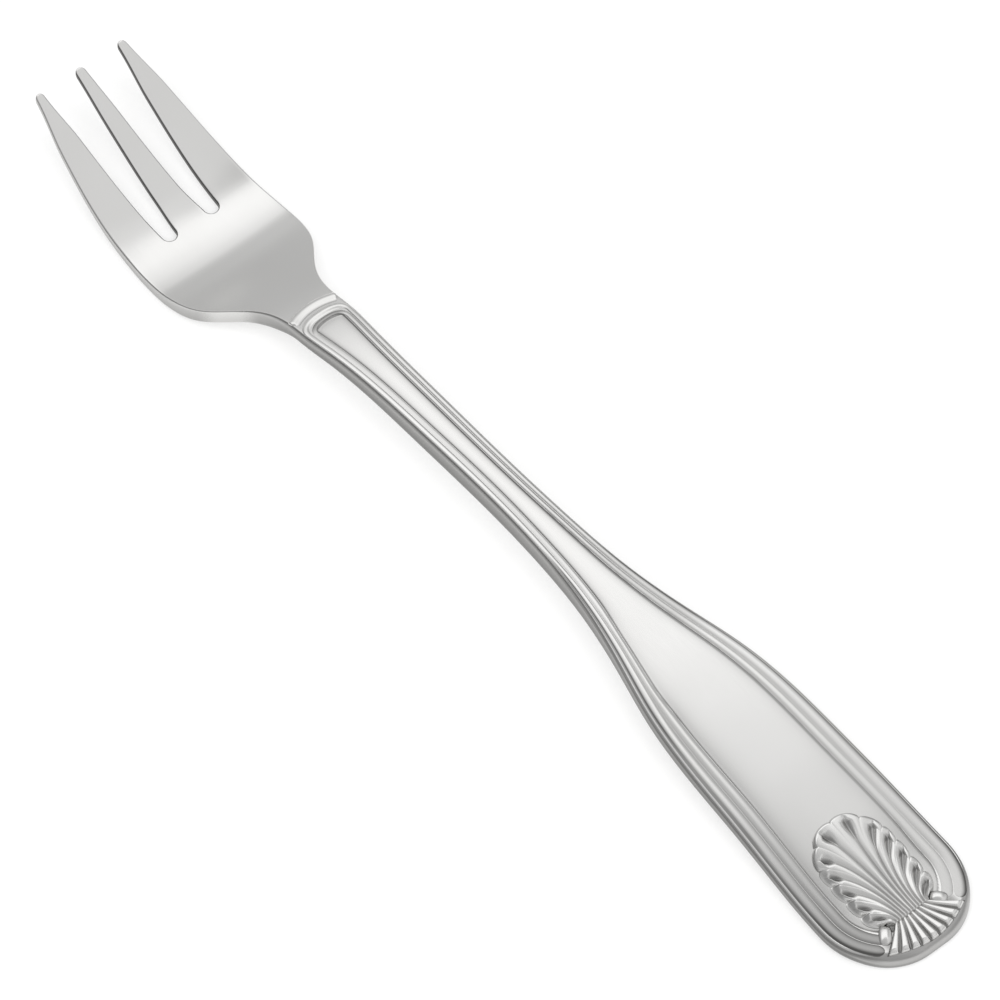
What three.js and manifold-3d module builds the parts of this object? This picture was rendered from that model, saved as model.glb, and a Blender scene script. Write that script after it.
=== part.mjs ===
// Oyster fork in a fiddle, thread and shell pattern, struck from one stainless blank.
// Millimetres, +Z up, face up. Stations run along +X from the end of the handle to the tips,
// and the finished fork lies centred over the origin on the plane z = 0.
import * as THREE from 'three';
import { mergeVertices } from 'three/addons/utils/BufferGeometryUtils.js';
import Module from 'manifold-3d';

const wasm = await Module();
wasm.setup();

// Lengths along the fork, in order from the end of the handle
const endRoundLength = 8.9;
const bladeLength = 30.5;
const flareLength = 24;
const stemLength = 38;
const neckLength = 8;
const shoulderLength = 9.5;
const palmLength = 6.5;
const tineLength = 20;

// Places set out from those lengths: the level rest under the handle, the bowl's lowest line
const restLength = 5.4;
const bellyAfterWidest = 1.5;

// Full widths of the blank
const endFlatWidth = 2.4;
const endWidth = 18.16;
const bladeMiddleWidth = 16.98;
const bladeShoulderWidth = 14.26;
const flareUpperWidth = 10.34;
const flareLowerWidth = 7.2;
const stemStartWidth = 5.76;
const stemMiddleWidth = 5.52;
const stemEndWidth = 6.96;
const neckWidth = 7.36;
const headStartWidth = 9.9;
const shoulderWidth = 16.3;
const headWidth = 18.66;
const rootWidth = 18.7;
const tineMiddleSpread = 16.75;
const tipSpread = 13;

// Slots between the tines
const slotRootPitch = 6.04;
const slotMouthPitch = 5.8;
const slotRootWidth = 1.75;
const slotMouthWidth = 4.02;

// Heights of the underside above the table
const bladeMiddleRise = 2.9;
const bladeShoulderRise = 4.5;
const stemStartRise = 6;
const stemMiddleRise = 6.2;
const stemEndRise = 5.7;
const headStartRise = 3.8;
const rootRise = 0.4;
const tineMiddleRise = 4.06;
const tipRise = 9.8;

// Thickness of the blank
const endThickness = 2.1;
const bladeThickness = 2.53;
const stemThickness = 2.77;
const neckThickness = 1.85;
const bowlThickness = 1.35;
const tipThickness = 1.08;
const edgeRound = 0.3;
const tineEdgeRound = 0.22;
const tipSqueeze = 0.4;
const endSqueeze = 0.6;
const tailFootRound = 0.1;

// Sunk panel on the handle's face
const panelDepth = 0.25;
const panelFillet = 0.45;
const panelFoot = 4;

// Threads along the edges, and the arches that close them at the neck
const outerThreadOnBlade = 1.7;
const outerThreadOnStem = 0.62;
const innerThreadWidth = 0.6;
const threadGroove = 0.12;
const panelMargin = 0.1;
const outerThreadHeight = 0.3;
const innerThreadHeight = 0.35;
const outerThreadEndAngle = 42;
const innerThreadEndAngle = 52;
const archWidth = 0.8;
const archHeight = 0.35;
const archSag = 1.2;
const outerArchFromStem = 3.9;
const innerArchFromStem = 2;
const archClearance = 0.1;

// Scallop shell, its foot and the scrolls
const fluteCount = 12;
const shellCentre = 9.9;
const shellLength = 8.3;
const shellHalfWidth = 5.2;
const shellSpreadAngle = 122;
const shellHeight = 0.85;
const shellRimHeight = 0.4;
const fluteDepth = 0.3;
const scallopDepth = 0.35;
const hingeStation = 4.6;
const hingeWidth = 4.4;
const footRibCount = 9;
const footGap = 0.35;
const footSpreadAngle = 35;
const footFromEdge = 1;
const footHeight = 0.5;
const footGrooveDepth = 0.28;
const scrollRadius = 0.6;
const scrollHeight = 0.5;
const scrollAngle = 38;
const scrollFromEdge = 3.2;

// Clearance under every struck feature, so that none of them cuts into the face that carries it
const seatClearance = 0.03;

// Steps used for the facets
const bodyStep = 2;
const headStep = 1;
const threadStep = 2;
const endSteps = 9;
const tipSteps = 4;
const archSteps = 10;
const slotSides = 32;
const stepsPerFlute = 6;
const shellRows = 8;
const stepsPerRib = 4;
const footRows = 4;
const scrollSides = 16;

const steelFinish = { color: 0xcac9c6, roughness: 0.32, metalness: 1 };

// Stations where one region ends and the next begins
const bladeStart = endRoundLength;
const flareStart = bladeStart + bladeLength;
const stemStart = flareStart + flareLength;
const neckStart = stemStart + stemLength;
const headStart = neckStart + neckLength;
const widestStation = headStart + shoulderLength;
const slotEnd = widestStation + palmLength;
const slotRoot = slotEnd + slotRootWidth / 2;
const forkLength = slotEnd + tineLength;
const bellyStation = widestStation + bellyAfterWidest;

const { clamp, degToRad, lerp, smoothstep } = THREE.MathUtils;

function middle(first, second) {
  return (first + second) / 2;
}

// Cubic curve through [station, value] points. It starts level, and ends level or free.
function smoothCurve(points, endsLevel) {
  const last = points.length - 1;
  const at = points.map((point) => point[0]);
  const value = points.map((point) => point[1]);
  const slope = (i) => (value[i + 1] - value[i]) / (at[i + 1] - at[i]);
  const bend = [-0.5];
  const carry = [(3 * slope(0)) / (at[1] - at[0])];
  for (let i = 1; i < last; i += 1) {
    const span = at[i + 1] - at[i - 1];
    const share = (at[i] - at[i - 1]) / span;
    const pivot = share * bend[i - 1] + 2;
    bend.push((share - 1) / pivot);
    carry.push(((6 * (slope(i) - slope(i - 1))) / span - share * carry[i - 1]) / pivot);
  }
  const endWeight = endsLevel ? 0.5 : 0;
  const endCarry = endsLevel ? (-3 * slope(last - 1)) / (at[last] - at[last - 1]) : 0;
  bend.push((endCarry - endWeight * carry[last - 1]) / (endWeight * bend[last - 1] + 1));
  for (let i = last - 1; i >= 0; i -= 1) {
    bend[i] = bend[i] * bend[i + 1] + carry[i];
  }
  return (station) => {
    const next = at.findIndex((place, i) => i > 0 && station <= place);
    const i = (next < 0 ? last : next) - 1;
    const span = at[i + 1] - at[i];
    const before = (at[i + 1] - station) / span;
    const after = 1 - before;
    const curved = (before ** 3 - before) * bend[i] + (after ** 3 - after) * bend[i + 1];
    return before * value[i] + after * value[i + 1] + (curved * span * span) / 6;
  };
}

// Plan outline past the rounded end, as half of the blank's width
const halfWidth = smoothCurve([
  [bladeStart, endWidth / 2],
  [middle(bladeStart, flareStart), bladeMiddleWidth / 2],
  [flareStart, bladeShoulderWidth / 2],
  [lerp(flareStart, stemStart, 1 / 3), flareUpperWidth / 2],
  [lerp(flareStart, stemStart, 2 / 3), flareLowerWidth / 2],
  [stemStart, stemStartWidth / 2],
  [middle(stemStart, neckStart), stemMiddleWidth / 2],
  [neckStart, stemEndWidth / 2],
  [middle(neckStart, headStart), neckWidth / 2],
  [headStart, headStartWidth / 2],
  [middle(headStart, widestStation), shoulderWidth / 2],
  [widestStation, headWidth / 2],
  [slotEnd, rootWidth / 2],
  [middle(slotEnd, forkLength), tineMiddleSpread / 2],
  [forkLength, tipSpread / 2],
], false);

// Side profile: level at the rest and at the belly, where the fork touches the table
const handleUnderside = smoothCurve([
  [restLength, 0],
  [middle(bladeStart, flareStart), bladeMiddleRise],
  [flareStart, bladeShoulderRise],
  [stemStart, stemStartRise],
  [middle(stemStart, neckStart), stemMiddleRise],
  [neckStart, stemEndRise],
  [headStart, headStartRise],
  [bellyStation, 0],
], true);

const tineUnderside = smoothCurve([
  [bellyStation, 0],
  [slotEnd, rootRise],
  [middle(slotEnd, forkLength), tineMiddleRise],
  [forkLength, tipRise],
], false);

const bodyThickness = smoothCurve([
  [restLength, endThickness],
  [flareStart, bladeThickness],
  [middle(stemStart, neckStart), stemThickness],
  [middle(neckStart, headStart), neckThickness],
  [bellyStation, bowlThickness],
  [forkLength, tipThickness],
], false);

function underside(station) {
  if (station <= restLength) {
    return 0;
  }
  return station < bellyStation ? handleUnderside(station) : tineUnderside(station);
}

function thickness(station) {
  return bodyThickness(Math.max(station, restLength));
}

function faceHeight(station) {
  return underside(station) + thickness(station);
}

function outerThreadWidth(station) {
  return lerp(outerThreadOnBlade, outerThreadOnStem, smoothstep(station, flareStart, stemStart));
}

function borderWidth(station) {
  return edgeRound + outerThreadWidth(station) + threadGroove + innerThreadWidth + panelMargin;
}

// Half of the sunk panel's width: the outline drawn in by the border, round at the handle's end
function panelHalfWidth(station) {
  const border = borderWidth(station);
  if (station >= bladeStart) {
    return halfWidth(station) - border;
  }
  const reach = (bladeStart - station) / (bladeStart - border);
  return (endWidth / 2 - border) * Math.sqrt(Math.max(0, 1 - reach * reach));
}

function panelSink(station) {
  const foot = smoothstep(station, panelFoot - panelFillet, panelFoot);
  const top = smoothstep(station, neckStart - panelFillet, neckStart);
  return panelDepth * foot * (1 - top);
}

// One point of the plan outline with its outward direction. The round end is set by an angle,
// from 0 at the tail of the handle to 90 where the blade begins.
function roundEdge(angle) {
  const turn = degToRad(angle);
  const flat = endFlatWidth / 2;
  const across = endWidth / 2 - flat;
  const outward = new THREE.Vector2(-across * Math.cos(turn), endRoundLength * Math.sin(turn));
  outward.normalize();
  return {
    station: endRoundLength * (1 - Math.cos(turn)),
    half: flat + across * Math.sin(turn),
    outward,
  };
}

function straightEdge(station) {
  const small = 0.01;
  const rise = (halfWidth(station + small) - halfWidth(station - small)) / (2 * small);
  const outward = new THREE.Vector2(-rise, 1).normalize();
  return { station, half: halfWidth(station), outward };
}

function evenSteps(from, to, step) {
  const count = Math.max(1, Math.ceil(Math.abs(to - from) / step));
  return Array.from({ length: count + 1 }, (unused, i) => lerp(from, to, i / count));
}

// Closed solid from rings of equal length: walls between the rings and a zigzag cap at each end.
function ringSolid(rings) {
  const size = rings[0].length;
  const index = [];
  for (let row = 0; row + 1 < rings.length; row += 1) {
    for (let i = 0; i < size; i += 1) {
      const a = row * size + i;
      const b = row * size + ((i + 1) % size);
      index.push(a, b, a + size, b, b + size, a + size);
    }
  }
  const lastRow = (rings.length - 1) * size;
  let low = 0;
  let high = size - 1;
  while (high - low > 1) {
    index.push(low, high, low + 1);
    index.push(lastRow + low, lastRow + low + 1, lastRow + high);
    low += 1;
    if (high - low > 1) {
      index.push(low, high, high - 1);
      index.push(lastRow + low, lastRow + high - 1, lastRow + high);
      high -= 1;
    }
  }
  return closedGeometry(rings.flat(), index);
}

// Closed solid from a grid of plan points: a shaped top, a base below it and walls round the rim.
function padSolid(columns, rows, topPoint, baseHeight) {
  const top = [];
  for (let row = 0; row <= rows; row += 1) {
    for (let column = 0; column <= columns; column += 1) {
      top.push(topPoint((2 * column) / columns - 1, row / rows));
    }
  }
  const base = top.map((point) => new THREE.Vector3(point.x, point.y, baseHeight(point.x)));
  const across = columns + 1;
  const index = [];
  for (let row = 0; row < rows; row += 1) {
    for (let column = 0; column < columns; column += 1) {
      const a = row * across + column;
      const b = a + across;
      index.push(a, a + 1, b, a + 1, b + 1, b);
      index.push(top.length + a, top.length + b, top.length + a + 1);
      index.push(top.length + a + 1, top.length + b, top.length + b + 1);
    }
  }
  const rim = [];
  for (let column = 0; column < columns; column += 1) {
    rim.push(column);
  }
  for (let row = 0; row < rows; row += 1) {
    rim.push(row * across + columns);
  }
  for (let column = columns; column > 0; column -= 1) {
    rim.push(rows * across + column);
  }
  for (let row = rows; row > 0; row -= 1) {
    rim.push(row * across);
  }
  rim.forEach((a, i) => {
    const b = rim[(i + 1) % rim.length];
    index.push(a, top.length + a, b, b, top.length + a, top.length + b);
  });
  return closedGeometry([...top, ...base], index);
}

// Geometry with its faces turned outwards
function closedGeometry(points, index) {
  let volume = 0;
  for (let i = 0; i < index.length; i += 3) {
    const [a, b, c] = index.slice(i, i + 3).map((corner) => points[corner]);
    volume += a.dot(b.clone().cross(c));
  }
  const geometry = new THREE.BufferGeometry();
  geometry.setFromPoints(points);
  geometry.setIndex(volume > 0 ? index : index.slice().reverse());
  geometry.computeVertexNormals();
  return geometry;
}

function toManifold(geometry) {
  const bare = geometry.clone();
  bare.deleteAttribute('normal');
  bare.deleteAttribute('uv');
  const merged = mergeVertices(bare);
  return new wasm.Manifold(new wasm.Mesh({
    numProp: 3,
    vertProperties: new Float32Array(merged.attributes.position.array),
    triVerts: new Uint32Array(merged.index.array),
  }));
}

function fromManifold(solid) {
  const { vertProperties, triVerts } = solid.getMesh();
  const geometry = new THREE.BufferGeometry();
  geometry.setAttribute('position', new THREE.BufferAttribute(vertProperties, 3));
  geometry.setIndex(new THREE.BufferAttribute(triVerts, 1));
  geometry.computeVertexNormals();
  return geometry;
}

function middleHeight(station) {
  return underside(station) + thickness(station) / 2;
}

// Ring round the blank: a side edge, the face with its sunk panel, the other edge, the underside.
// Edge, face and foot each give a station and a half width. The face and the foot of the section
// lie inside the edge by its rounds, and are squeezed together at a blunt end.
function blankRing(edge, face, foot, squeeze) {
  const top = lerp(middleHeight(face.station), faceHeight(face.station), squeeze);
  const base = lerp(middleHeight(foot.station), underside(foot.station), squeeze);
  const panelHalf = clamp(panelHalfWidth(face.station), face.half / 2, face.half);
  const floorHalf = Math.max(panelHalf / 2, panelHalf - panelFillet);
  const floor = top - panelSink(face.station);
  const side = middleHeight(edge.station);
  const upper = [
    [-face.half, top], [-panelHalf, top], [-floorHalf, floor], [0, floor],
    [floorHalf, floor], [panelHalf, top], [face.half, top],
  ];
  const lower = upper.map(([across]) => (across * foot.half) / face.half).reverse();
  return [
    new THREE.Vector3(edge.station, -edge.half, side),
    ...upper.map(([across, height]) => new THREE.Vector3(face.station, across, height)),
    new THREE.Vector3(edge.station, edge.half, side),
    ...lower.map((across) => new THREE.Vector3(foot.station, across, base)),
  ];
}

function regionRing(station) {
  const half = halfWidth(station);
  const inner = { station, half: half - edgeRound };
  return blankRing({ station, half }, inner, inner, 1);
}

function regionSolid(from, to, step) {
  return ringSolid(evenSteps(from, to, step).map(regionRing));
}

// Point of the plan at a distance inside an edge point of the outline
function insideEdge({ station, half, outward }, distance) {
  return { station: station - distance * outward.x, half: half - distance * outward.y };
}

// The underside of the round end comes out nearly to the edge at the tail
function handleEndSolid() {
  const flat = endFlatWidth / 2;
  const blunt = { station: 0, half: flat - Math.min(edgeRound, flat) / 2 };
  const rings = [blankRing({ station: 0, half: flat }, blunt, blunt, endSqueeze)];
  for (let i = 1; i <= endSteps; i += 1) {
    const edge = roundEdge((90 * i) / endSteps);
    const footRound = lerp(edgeRound, tailFootRound, edge.outward.x ** 2);
    rings.push(blankRing(edge, insideEdge(edge, edgeRound), insideEdge(edge, footRound), 1));
  }
  return ringSolid(rings);
}

// Head from the neck to the tines' roots, with the round ends of the two slots cut through it
function bowlSolid() {
  let solid = toManifold(regionSolid(headStart, slotRoot, headStep));
  const cutHeight = 2 * (headStartRise + neckThickness + tipRise);
  for (const side of [-1, 1]) {
    const cutter = new THREE.CylinderGeometry(slotRootWidth / 2, slotRootWidth / 2, cutHeight, slotSides);
    cutter.rotateX(Math.PI / 2);
    cutter.translate(slotRoot, (side * slotRootPitch) / 2, 0);
    solid = solid.subtract(toManifold(cutter));
  }
  return fromManifold(solid);
}

// Distance from the fork's axis to one side of a slot: -1 for the near side, 1 for the far side
function slotEdge(station, side) {
  const share = (station - slotRoot) / (forkLength - slotRoot);
  const line = lerp(slotRootPitch, slotMouthPitch, share) / 2;
  return line + (side * lerp(slotRootWidth, slotMouthWidth, share)) / 2;
}

function tineRing(station, low, high, squeeze) {
  const half = (high - low) / 2;
  const inset = Math.min(tineEdgeRound, half / 2);
  const bottom = underside(station);
  const centre = bottom + thickness(station) / 2;
  const top = lerp(centre, faceHeight(station), squeeze);
  const base = lerp(centre, bottom, squeeze);
  const corners = [
    [low, centre], [low + inset, top], [high - inset, top],
    [high, centre], [high - inset, base], [low + inset, base],
  ];
  return corners.map(([across, height]) => new THREE.Vector3(station, across, height));
}

// Tine between two plan edges, each a function of the station, with a round point
function tineSolid(lowEdge, highEdge) {
  const pointRadius = (highEdge(forkLength) - lowEdge(forkLength)) / 2;
  const pointStart = forkLength - pointRadius;
  const rings = evenSteps(slotRoot, pointStart, headStep).map((station) => (
    tineRing(station, lowEdge(station), highEdge(station), 1)
  ));
  for (let i = 1; i <= tipSteps; i += 1) {
    const share = i / tipSteps;
    const station = lerp(pointStart, forkLength, Math.sin((share * Math.PI) / 2));
    const narrow = lerp(1, tipSqueeze, 1 - Math.cos((share * Math.PI) / 2));
    const centre = middle(lowEdge(station), highEdge(station));
    const half = ((highEdge(station) - lowEdge(station)) / 2) * narrow;
    rings.push(tineRing(station, centre - half, centre + half, narrow));
  }
  return ringSolid(rings);
}

// Rounded bead laid on the face along a path of plan points, each with a direction across it
function beadSolid(path, widthAt, height) {
  const sectionSteps = 4;
  return ringSolid(path.map(({ station, across, outward }) => {
    const ring = [];
    for (let i = 0; i <= sectionSteps; i += 1) {
      const turn = (Math.PI * i) / sectionSteps;
      const offset = (Math.cos(turn) * widthAt(station)) / 2;
      const place = station + offset * outward.x;
      const lift = seatClearance + height * Math.sin(turn);
      ring.push(new THREE.Vector3(place, across + offset * outward.y, faceHeight(place) + lift));
    }
    return ring;
  }));
}

// Arch across the neck: a shallow bow, convex towards the tines
function archStation(crown, across) {
  const springHalf = neckWidth / 2;
  return crown - archSag * (across / springHalf) ** 2;
}

function archSolid(crown, half) {
  const path = evenSteps(-half, half, (2 * half) / archSteps).map((across) => ({
    station: archStation(crown, across),
    across,
    outward: new THREE.Vector2(1, 0),
  }));
  return beadSolid(path, () => archWidth, archHeight);
}

// Path at a distance inside the outline, from the round end to just short of an arch
function threadPath(side, distanceAt, endAngle, crown) {
  const stop = crown - archSag - archWidth / 2 - archClearance;
  const edges = [
    ...evenSteps(endAngle, 90, 90 / endSteps).map(roundEdge),
    ...evenSteps(bladeStart, stop, threadStep).slice(1).map(straightEdge),
  ];
  return edges.map((edge) => {
    const inside = insideEdge(edge, distanceAt(edge.station));
    return {
      station: inside.station,
      across: side * inside.half,
      outward: new THREE.Vector2(edge.outward.x, side * edge.outward.y),
    };
  });
}

function outerThreadDistance(station) {
  return edgeRound + outerThreadWidth(station) / 2;
}

function innerThreadDistance(station) {
  return edgeRound + outerThreadWidth(station) + threadGroove + innerThreadWidth / 2;
}

// Rounded ribs across a pad: 1 on the crest of a rib and 0 in the groove beside it
function ribShape(share, count) {
  return Math.abs(Math.sin(((share + 1) / 2) * count * Math.PI));
}

// Shell: flutes from a straight hinge to a scalloped rim, lying on the panel's floor
function panelFloor(station) {
  return faceHeight(station) - panelSink(station) + seatClearance;
}

function shellPoint(share, reach) {
  const turn = degToRad(share * shellSpreadAngle);
  const lobe = ribShape(share, fluteCount);
  const scallop = scallopDepth * (1 - lobe) * reach;
  const rimStation = shellCentre + (shellLength - scallop) * Math.cos(turn);
  const rimAcross = (shellHalfWidth - scallop) * Math.sin(turn);
  const station = lerp(hingeStation, rimStation, reach);
  const across = lerp((share * hingeWidth) / 2, rimAcross, reach);
  const crown = lerp(shellHeight, shellRimHeight, reach ** 3);
  const flute = fluteDepth * (1 - lobe) * Math.min(1, 2 * reach);
  return new THREE.Vector3(station, across, panelFloor(station) + crown - flute * (1 - reach / 2));
}

// Foot: short ribs that fan from the hinge to the round end of the handle
function footBase(station) {
  return faceHeight(station) + seatClearance;
}

function footPoint(share, reach) {
  const rimTurn = degToRad(share * footSpreadAngle);
  const hingeAcross = (share * hingeWidth) / 2;
  const rimAcross = (endWidth / 2 - footFromEdge) * Math.sin(rimTurn);
  const rimStation = endRoundLength - (endRoundLength - footFromEdge) * Math.cos(rimTurn);
  const station = lerp(hingeStation - footGap, rimStation, reach);
  const across = lerp(hingeAcross, rimAcross, reach);
  const groove = footGrooveDepth * (1 - ribShape(share, footRibCount));
  const height = footHeight * (1 - reach ** 2 / 2) - groove;
  return new THREE.Vector3(station, across, footBase(station) + height);
}

function scrollSolid() {
  const profile = new THREE.SplineCurve([
    new THREE.Vector2(scrollRadius, 0),
    new THREE.Vector2(scrollRadius * Math.SQRT1_2, scrollHeight * Math.SQRT1_2),
    new THREE.Vector2(0, scrollHeight),
  ]).getPoints(6);
  profile[profile.length - 1].x = 0;
  const dome = new THREE.LatheGeometry([new THREE.Vector2(0, 0), ...profile], scrollSides);
  dome.rotateX(Math.PI / 2);
  return dome;
}

function addPiece(parent, name, geometry) {
  const piece = new THREE.Mesh(geometry, new THREE.MeshStandardMaterial(steelFinish));
  piece.name = name;
  parent.add(piece);
  return piece;
}

function makeHead() {
  const head = new THREE.Group();
  const middleEdge = (station) => slotEdge(station, -1);
  const innerEdge = (station) => slotEdge(station, 1);
  addPiece(head, 'tine_left', tineSolid(innerEdge, halfWidth));
  addPiece(head, 'tine_middle', tineSolid((station) => -middleEdge(station), middleEdge));
  addPiece(head, 'tine_right', tineSolid(
    (station) => -halfWidth(station),
    (station) => -innerEdge(station),
  ));
  addPiece(head, 'bowl', bowlSolid());
  return head;
}

function makeHandle() {
  const handle = new THREE.Group();
  addPiece(handle, 'neck', regionSolid(neckStart, headStart, headStep));
  addPiece(handle, 'stem', regionSolid(stemStart, neckStart, bodyStep));
  addPiece(handle, 'flare', regionSolid(flareStart, stemStart, bodyStep));
  addPiece(handle, 'blade', regionSolid(bladeStart, flareStart, bodyStep));
  addPiece(handle, 'handle_end', handleEndSolid());
  return handle;
}

function makeThreads() {
  const threads = new THREE.Group();
  const outerCrown = neckStart + outerArchFromStem;
  const innerCrown = neckStart + innerArchFromStem;
  for (const [name, side] of [['left', 1], ['right', -1]]) {
    const outerPath = threadPath(side, outerThreadDistance, outerThreadEndAngle, outerCrown);
    const innerPath = threadPath(side, innerThreadDistance, innerThreadEndAngle, innerCrown);
    const outerBead = beadSolid(outerPath, outerThreadWidth, outerThreadHeight);
    const innerBead = beadSolid(innerPath, () => innerThreadWidth, innerThreadHeight);
    addPiece(threads, `thread_outer_${name}`, outerBead);
    addPiece(threads, `thread_inner_${name}`, innerBead);
  }
  const outerHalf = halfWidth(outerCrown - archSag) - edgeRound - archClearance;
  const innerHalf = halfWidth(innerCrown - archSag) - edgeRound - outerThreadOnStem - threadGroove;
  addPiece(threads, 'arch_outer', archSolid(outerCrown, outerHalf));
  addPiece(threads, 'arch_inner', archSolid(innerCrown, innerHalf));
  return threads;
}

function makeShell() {
  const shell = new THREE.Group();
  addPiece(shell, 'shell_fan', padSolid(fluteCount * stepsPerFlute, shellRows, shellPoint, panelFloor));
  addPiece(shell, 'shell_foot', padSolid(footRibCount * stepsPerRib, footRows, footPoint, footBase));
  for (const [name, side] of [['left', 1], ['right', -1]]) {
    const scroll = addPiece(shell, `scroll_${name}`, scrollSolid());
    const place = insideEdge(roundEdge(scrollAngle), scrollFromEdge);
    const seat = faceHeight(place.station) + seatClearance;
    scroll.position.set(place.station, side * place.half, seat);
  }
  return shell;
}

const fork = new THREE.Group();
fork.add(makeHead(), makeHandle(), makeThreads(), makeShell());
fork.position.x = -forkLength / 2;

export default fork;
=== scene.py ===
import math

import bmesh
import bpy
import numpy as np
from mathutils import Matrix


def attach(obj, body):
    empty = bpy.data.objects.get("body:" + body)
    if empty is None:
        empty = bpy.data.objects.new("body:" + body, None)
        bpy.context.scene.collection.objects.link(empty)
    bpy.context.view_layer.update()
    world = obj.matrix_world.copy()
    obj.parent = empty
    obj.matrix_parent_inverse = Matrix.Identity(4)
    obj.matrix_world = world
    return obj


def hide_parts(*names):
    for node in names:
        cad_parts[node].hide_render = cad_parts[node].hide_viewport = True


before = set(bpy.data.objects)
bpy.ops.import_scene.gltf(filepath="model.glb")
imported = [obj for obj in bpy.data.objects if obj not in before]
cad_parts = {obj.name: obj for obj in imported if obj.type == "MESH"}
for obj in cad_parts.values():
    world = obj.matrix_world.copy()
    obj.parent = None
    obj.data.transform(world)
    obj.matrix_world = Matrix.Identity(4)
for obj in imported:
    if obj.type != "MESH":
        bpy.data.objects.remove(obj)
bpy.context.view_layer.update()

# Lengths are millimetres. A station is the distance from the handle's end towards the tine tips.
MM = 0.001
END_ROUND = 8.9
FLARE_START = 39.4
STEM_START = 63.4
NECK_START = 101.4
HEAD_START = 109.4
SLOT_END = 125.4
FORK_LENGTH = 145.4
BELLY = 120.4
REST = 5.4
MIDDLE = FORK_LENGTH / 2
END_FLAT = 1.2
END_HALF = 9.08
SLOT_RADIUS = 0.875
SLOT_ROOT = SLOT_END + SLOT_RADIUS
SLOT_CENTRE = 3.02
SLOT_MOUTH_CENTRE = 2.9
SLOT_MOUTH = 4.02


def curve(points, level_start=True, level_end=False):
    """A cubic spline through (station, value) points, with level or free ends."""
    at, value = np.array(points, float).T
    count = len(at)
    span = np.diff(at)
    slope = np.diff(value) / span
    rows = np.zeros((count, count))
    right = np.zeros(count)
    rows[0, 0] = rows[-1, -1] = 1
    if level_start:
        rows[0, :2] = 2, 1
        right[0] = 6 * slope[0] / span[0]
    if level_end:
        rows[-1, -2:] = 1, 2
        right[-1] = -6 * slope[-1] / span[-1]
    for i in range(1, count - 1):
        rows[i, i - 1:i + 2] = span[i - 1], 2 * (span[i - 1] + span[i]), span[i]
        right[i] = 6 * (slope[i] - slope[i - 1])
    bend = np.linalg.solve(rows, right)

    def read(station):
        station = np.asarray(station, float)
        i = np.clip(np.searchsorted(at, station) - 1, 0, count - 2)
        p = (at[i + 1] - station) / span[i]
        q = 1 - p
        sag = ((p**3 - p) * bend[i] + (q**3 - q) * bend[i + 1]) * span[i]**2 / 6
        return p * value[i] + q * value[i + 1] + sag

    return read


def smooth(a, b, x):
    t = np.clip((np.asarray(x, float) - a) / (b - a), 0, 1)
    return t * t * (3 - 2 * t)


def lerp(a, b, t):
    return a + (b - a) * t


straight_half = curve([
    (END_ROUND, 9.08), (24.15, 8.49), (FLARE_START, 7.13), (FLARE_START + 8, 5.17),
    (FLARE_START + 16, 3.6), (STEM_START, 2.88), (74, 2.61), (84, 2.7), (92, 2.87), (98, 3.22),
    (102, 3.5), (106, 3.58), (110, 4.93), (114, 7.8), (118, 9.02), (122, 9.17), (126, 8.99),
    (130, 8.76), (134, 8.37), (138, 7.79), (FORK_LENGTH, 6.45)])
handle_under = curve([
    (REST, 0), (24.15, 2.9), (FLARE_START, 4.5), (STEM_START, 6), (82.4, 6.2),
    (NECK_START, 5.7), (HEAD_START, 3.8), (BELLY, 0)], level_end=True)
tine_under = curve([(BELLY, 0), (SLOT_END, 0.4), (135.4, 4.06), (FORK_LENGTH, 9.8)])
thickness_curve = curve([
    (REST, 2.1), (FLARE_START, 2.53), (82.4, 2.77), (105.4, 1.85), (BELLY, 1.35),
    (FORK_LENGTH, 1.08)])

HEAD_SET_START = 108
BLADE_SET_START = 14
BLADE_SET_END = 58
SHOULDER_START = 103
SHOULDER_END = 128
head_set = curve([
    (HEAD_SET_START, 0), (113, 0.23), (117.5, 0.506), (118.5, 0.51), (119.5, 0.438), (120.5, 0.325),
    (121.5, 0.214), (122.5, 0.114), (124, -0.0382), (127, -0.296), (131, -0.52), (141, -0.12),
    (FORK_LENGTH, 0)], level_end=True)
blade_set = curve([
    (BLADE_SET_START, 0), (18, -0.01), (23, -0.12), (27.5, -0.19), (31, -0.155), (34.5, -0.07),
    (38, 0.01), (41.5, 0.07), (44, 0.08), (48, 0.06), (52, 0.035), (BLADE_SET_END, 0)], level_end=True)
shoulder_curve = curve([
    (SHOULDER_START, 0), (106, 0.55), (110, 0.6), (114, 0.58), (117, 0.5), (119, 0.38), (121, 0.22),
    (124, 0.1), (SHOULDER_END, 0)], level_end=True)


def within(read, start, end, s):
    """A curve between two stations, and nothing outside them."""
    return np.where((s > start) & (s < end), read(np.clip(s, start, end)), 0)


def settle(s, z):
    """Small departures from the plain bend: in the blade's sweep, behind the bowl's lowest place, and
    before the tines."""
    lift = within(head_set, HEAD_SET_START, FORK_LENGTH, s)
    lift = lift + within(blade_set, BLADE_SET_START, BLADE_SET_END, s)
    return z + np.maximum(lift, -0.8 * z)


def shoulder(s):
    """How much thicker the metal is left under the shoulders of the head."""
    return np.maximum(within(shoulder_curve, SHOULDER_START, SHOULDER_END, s), 0)


def under(s):
    s = np.asarray(s, float)
    z = np.where(s > BELLY, tine_under(np.maximum(s, BELLY)), handle_under(np.clip(s, REST, BELLY)))
    return np.maximum(settle(s, np.where(s < REST, 0, z)) - shoulder(s), 0)


def face(s):
    s = np.asarray(s, float)
    return under(s) + shoulder(s) + thickness_curve(np.maximum(s, REST))


def thick(s):
    return face(s) - under(s)


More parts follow.
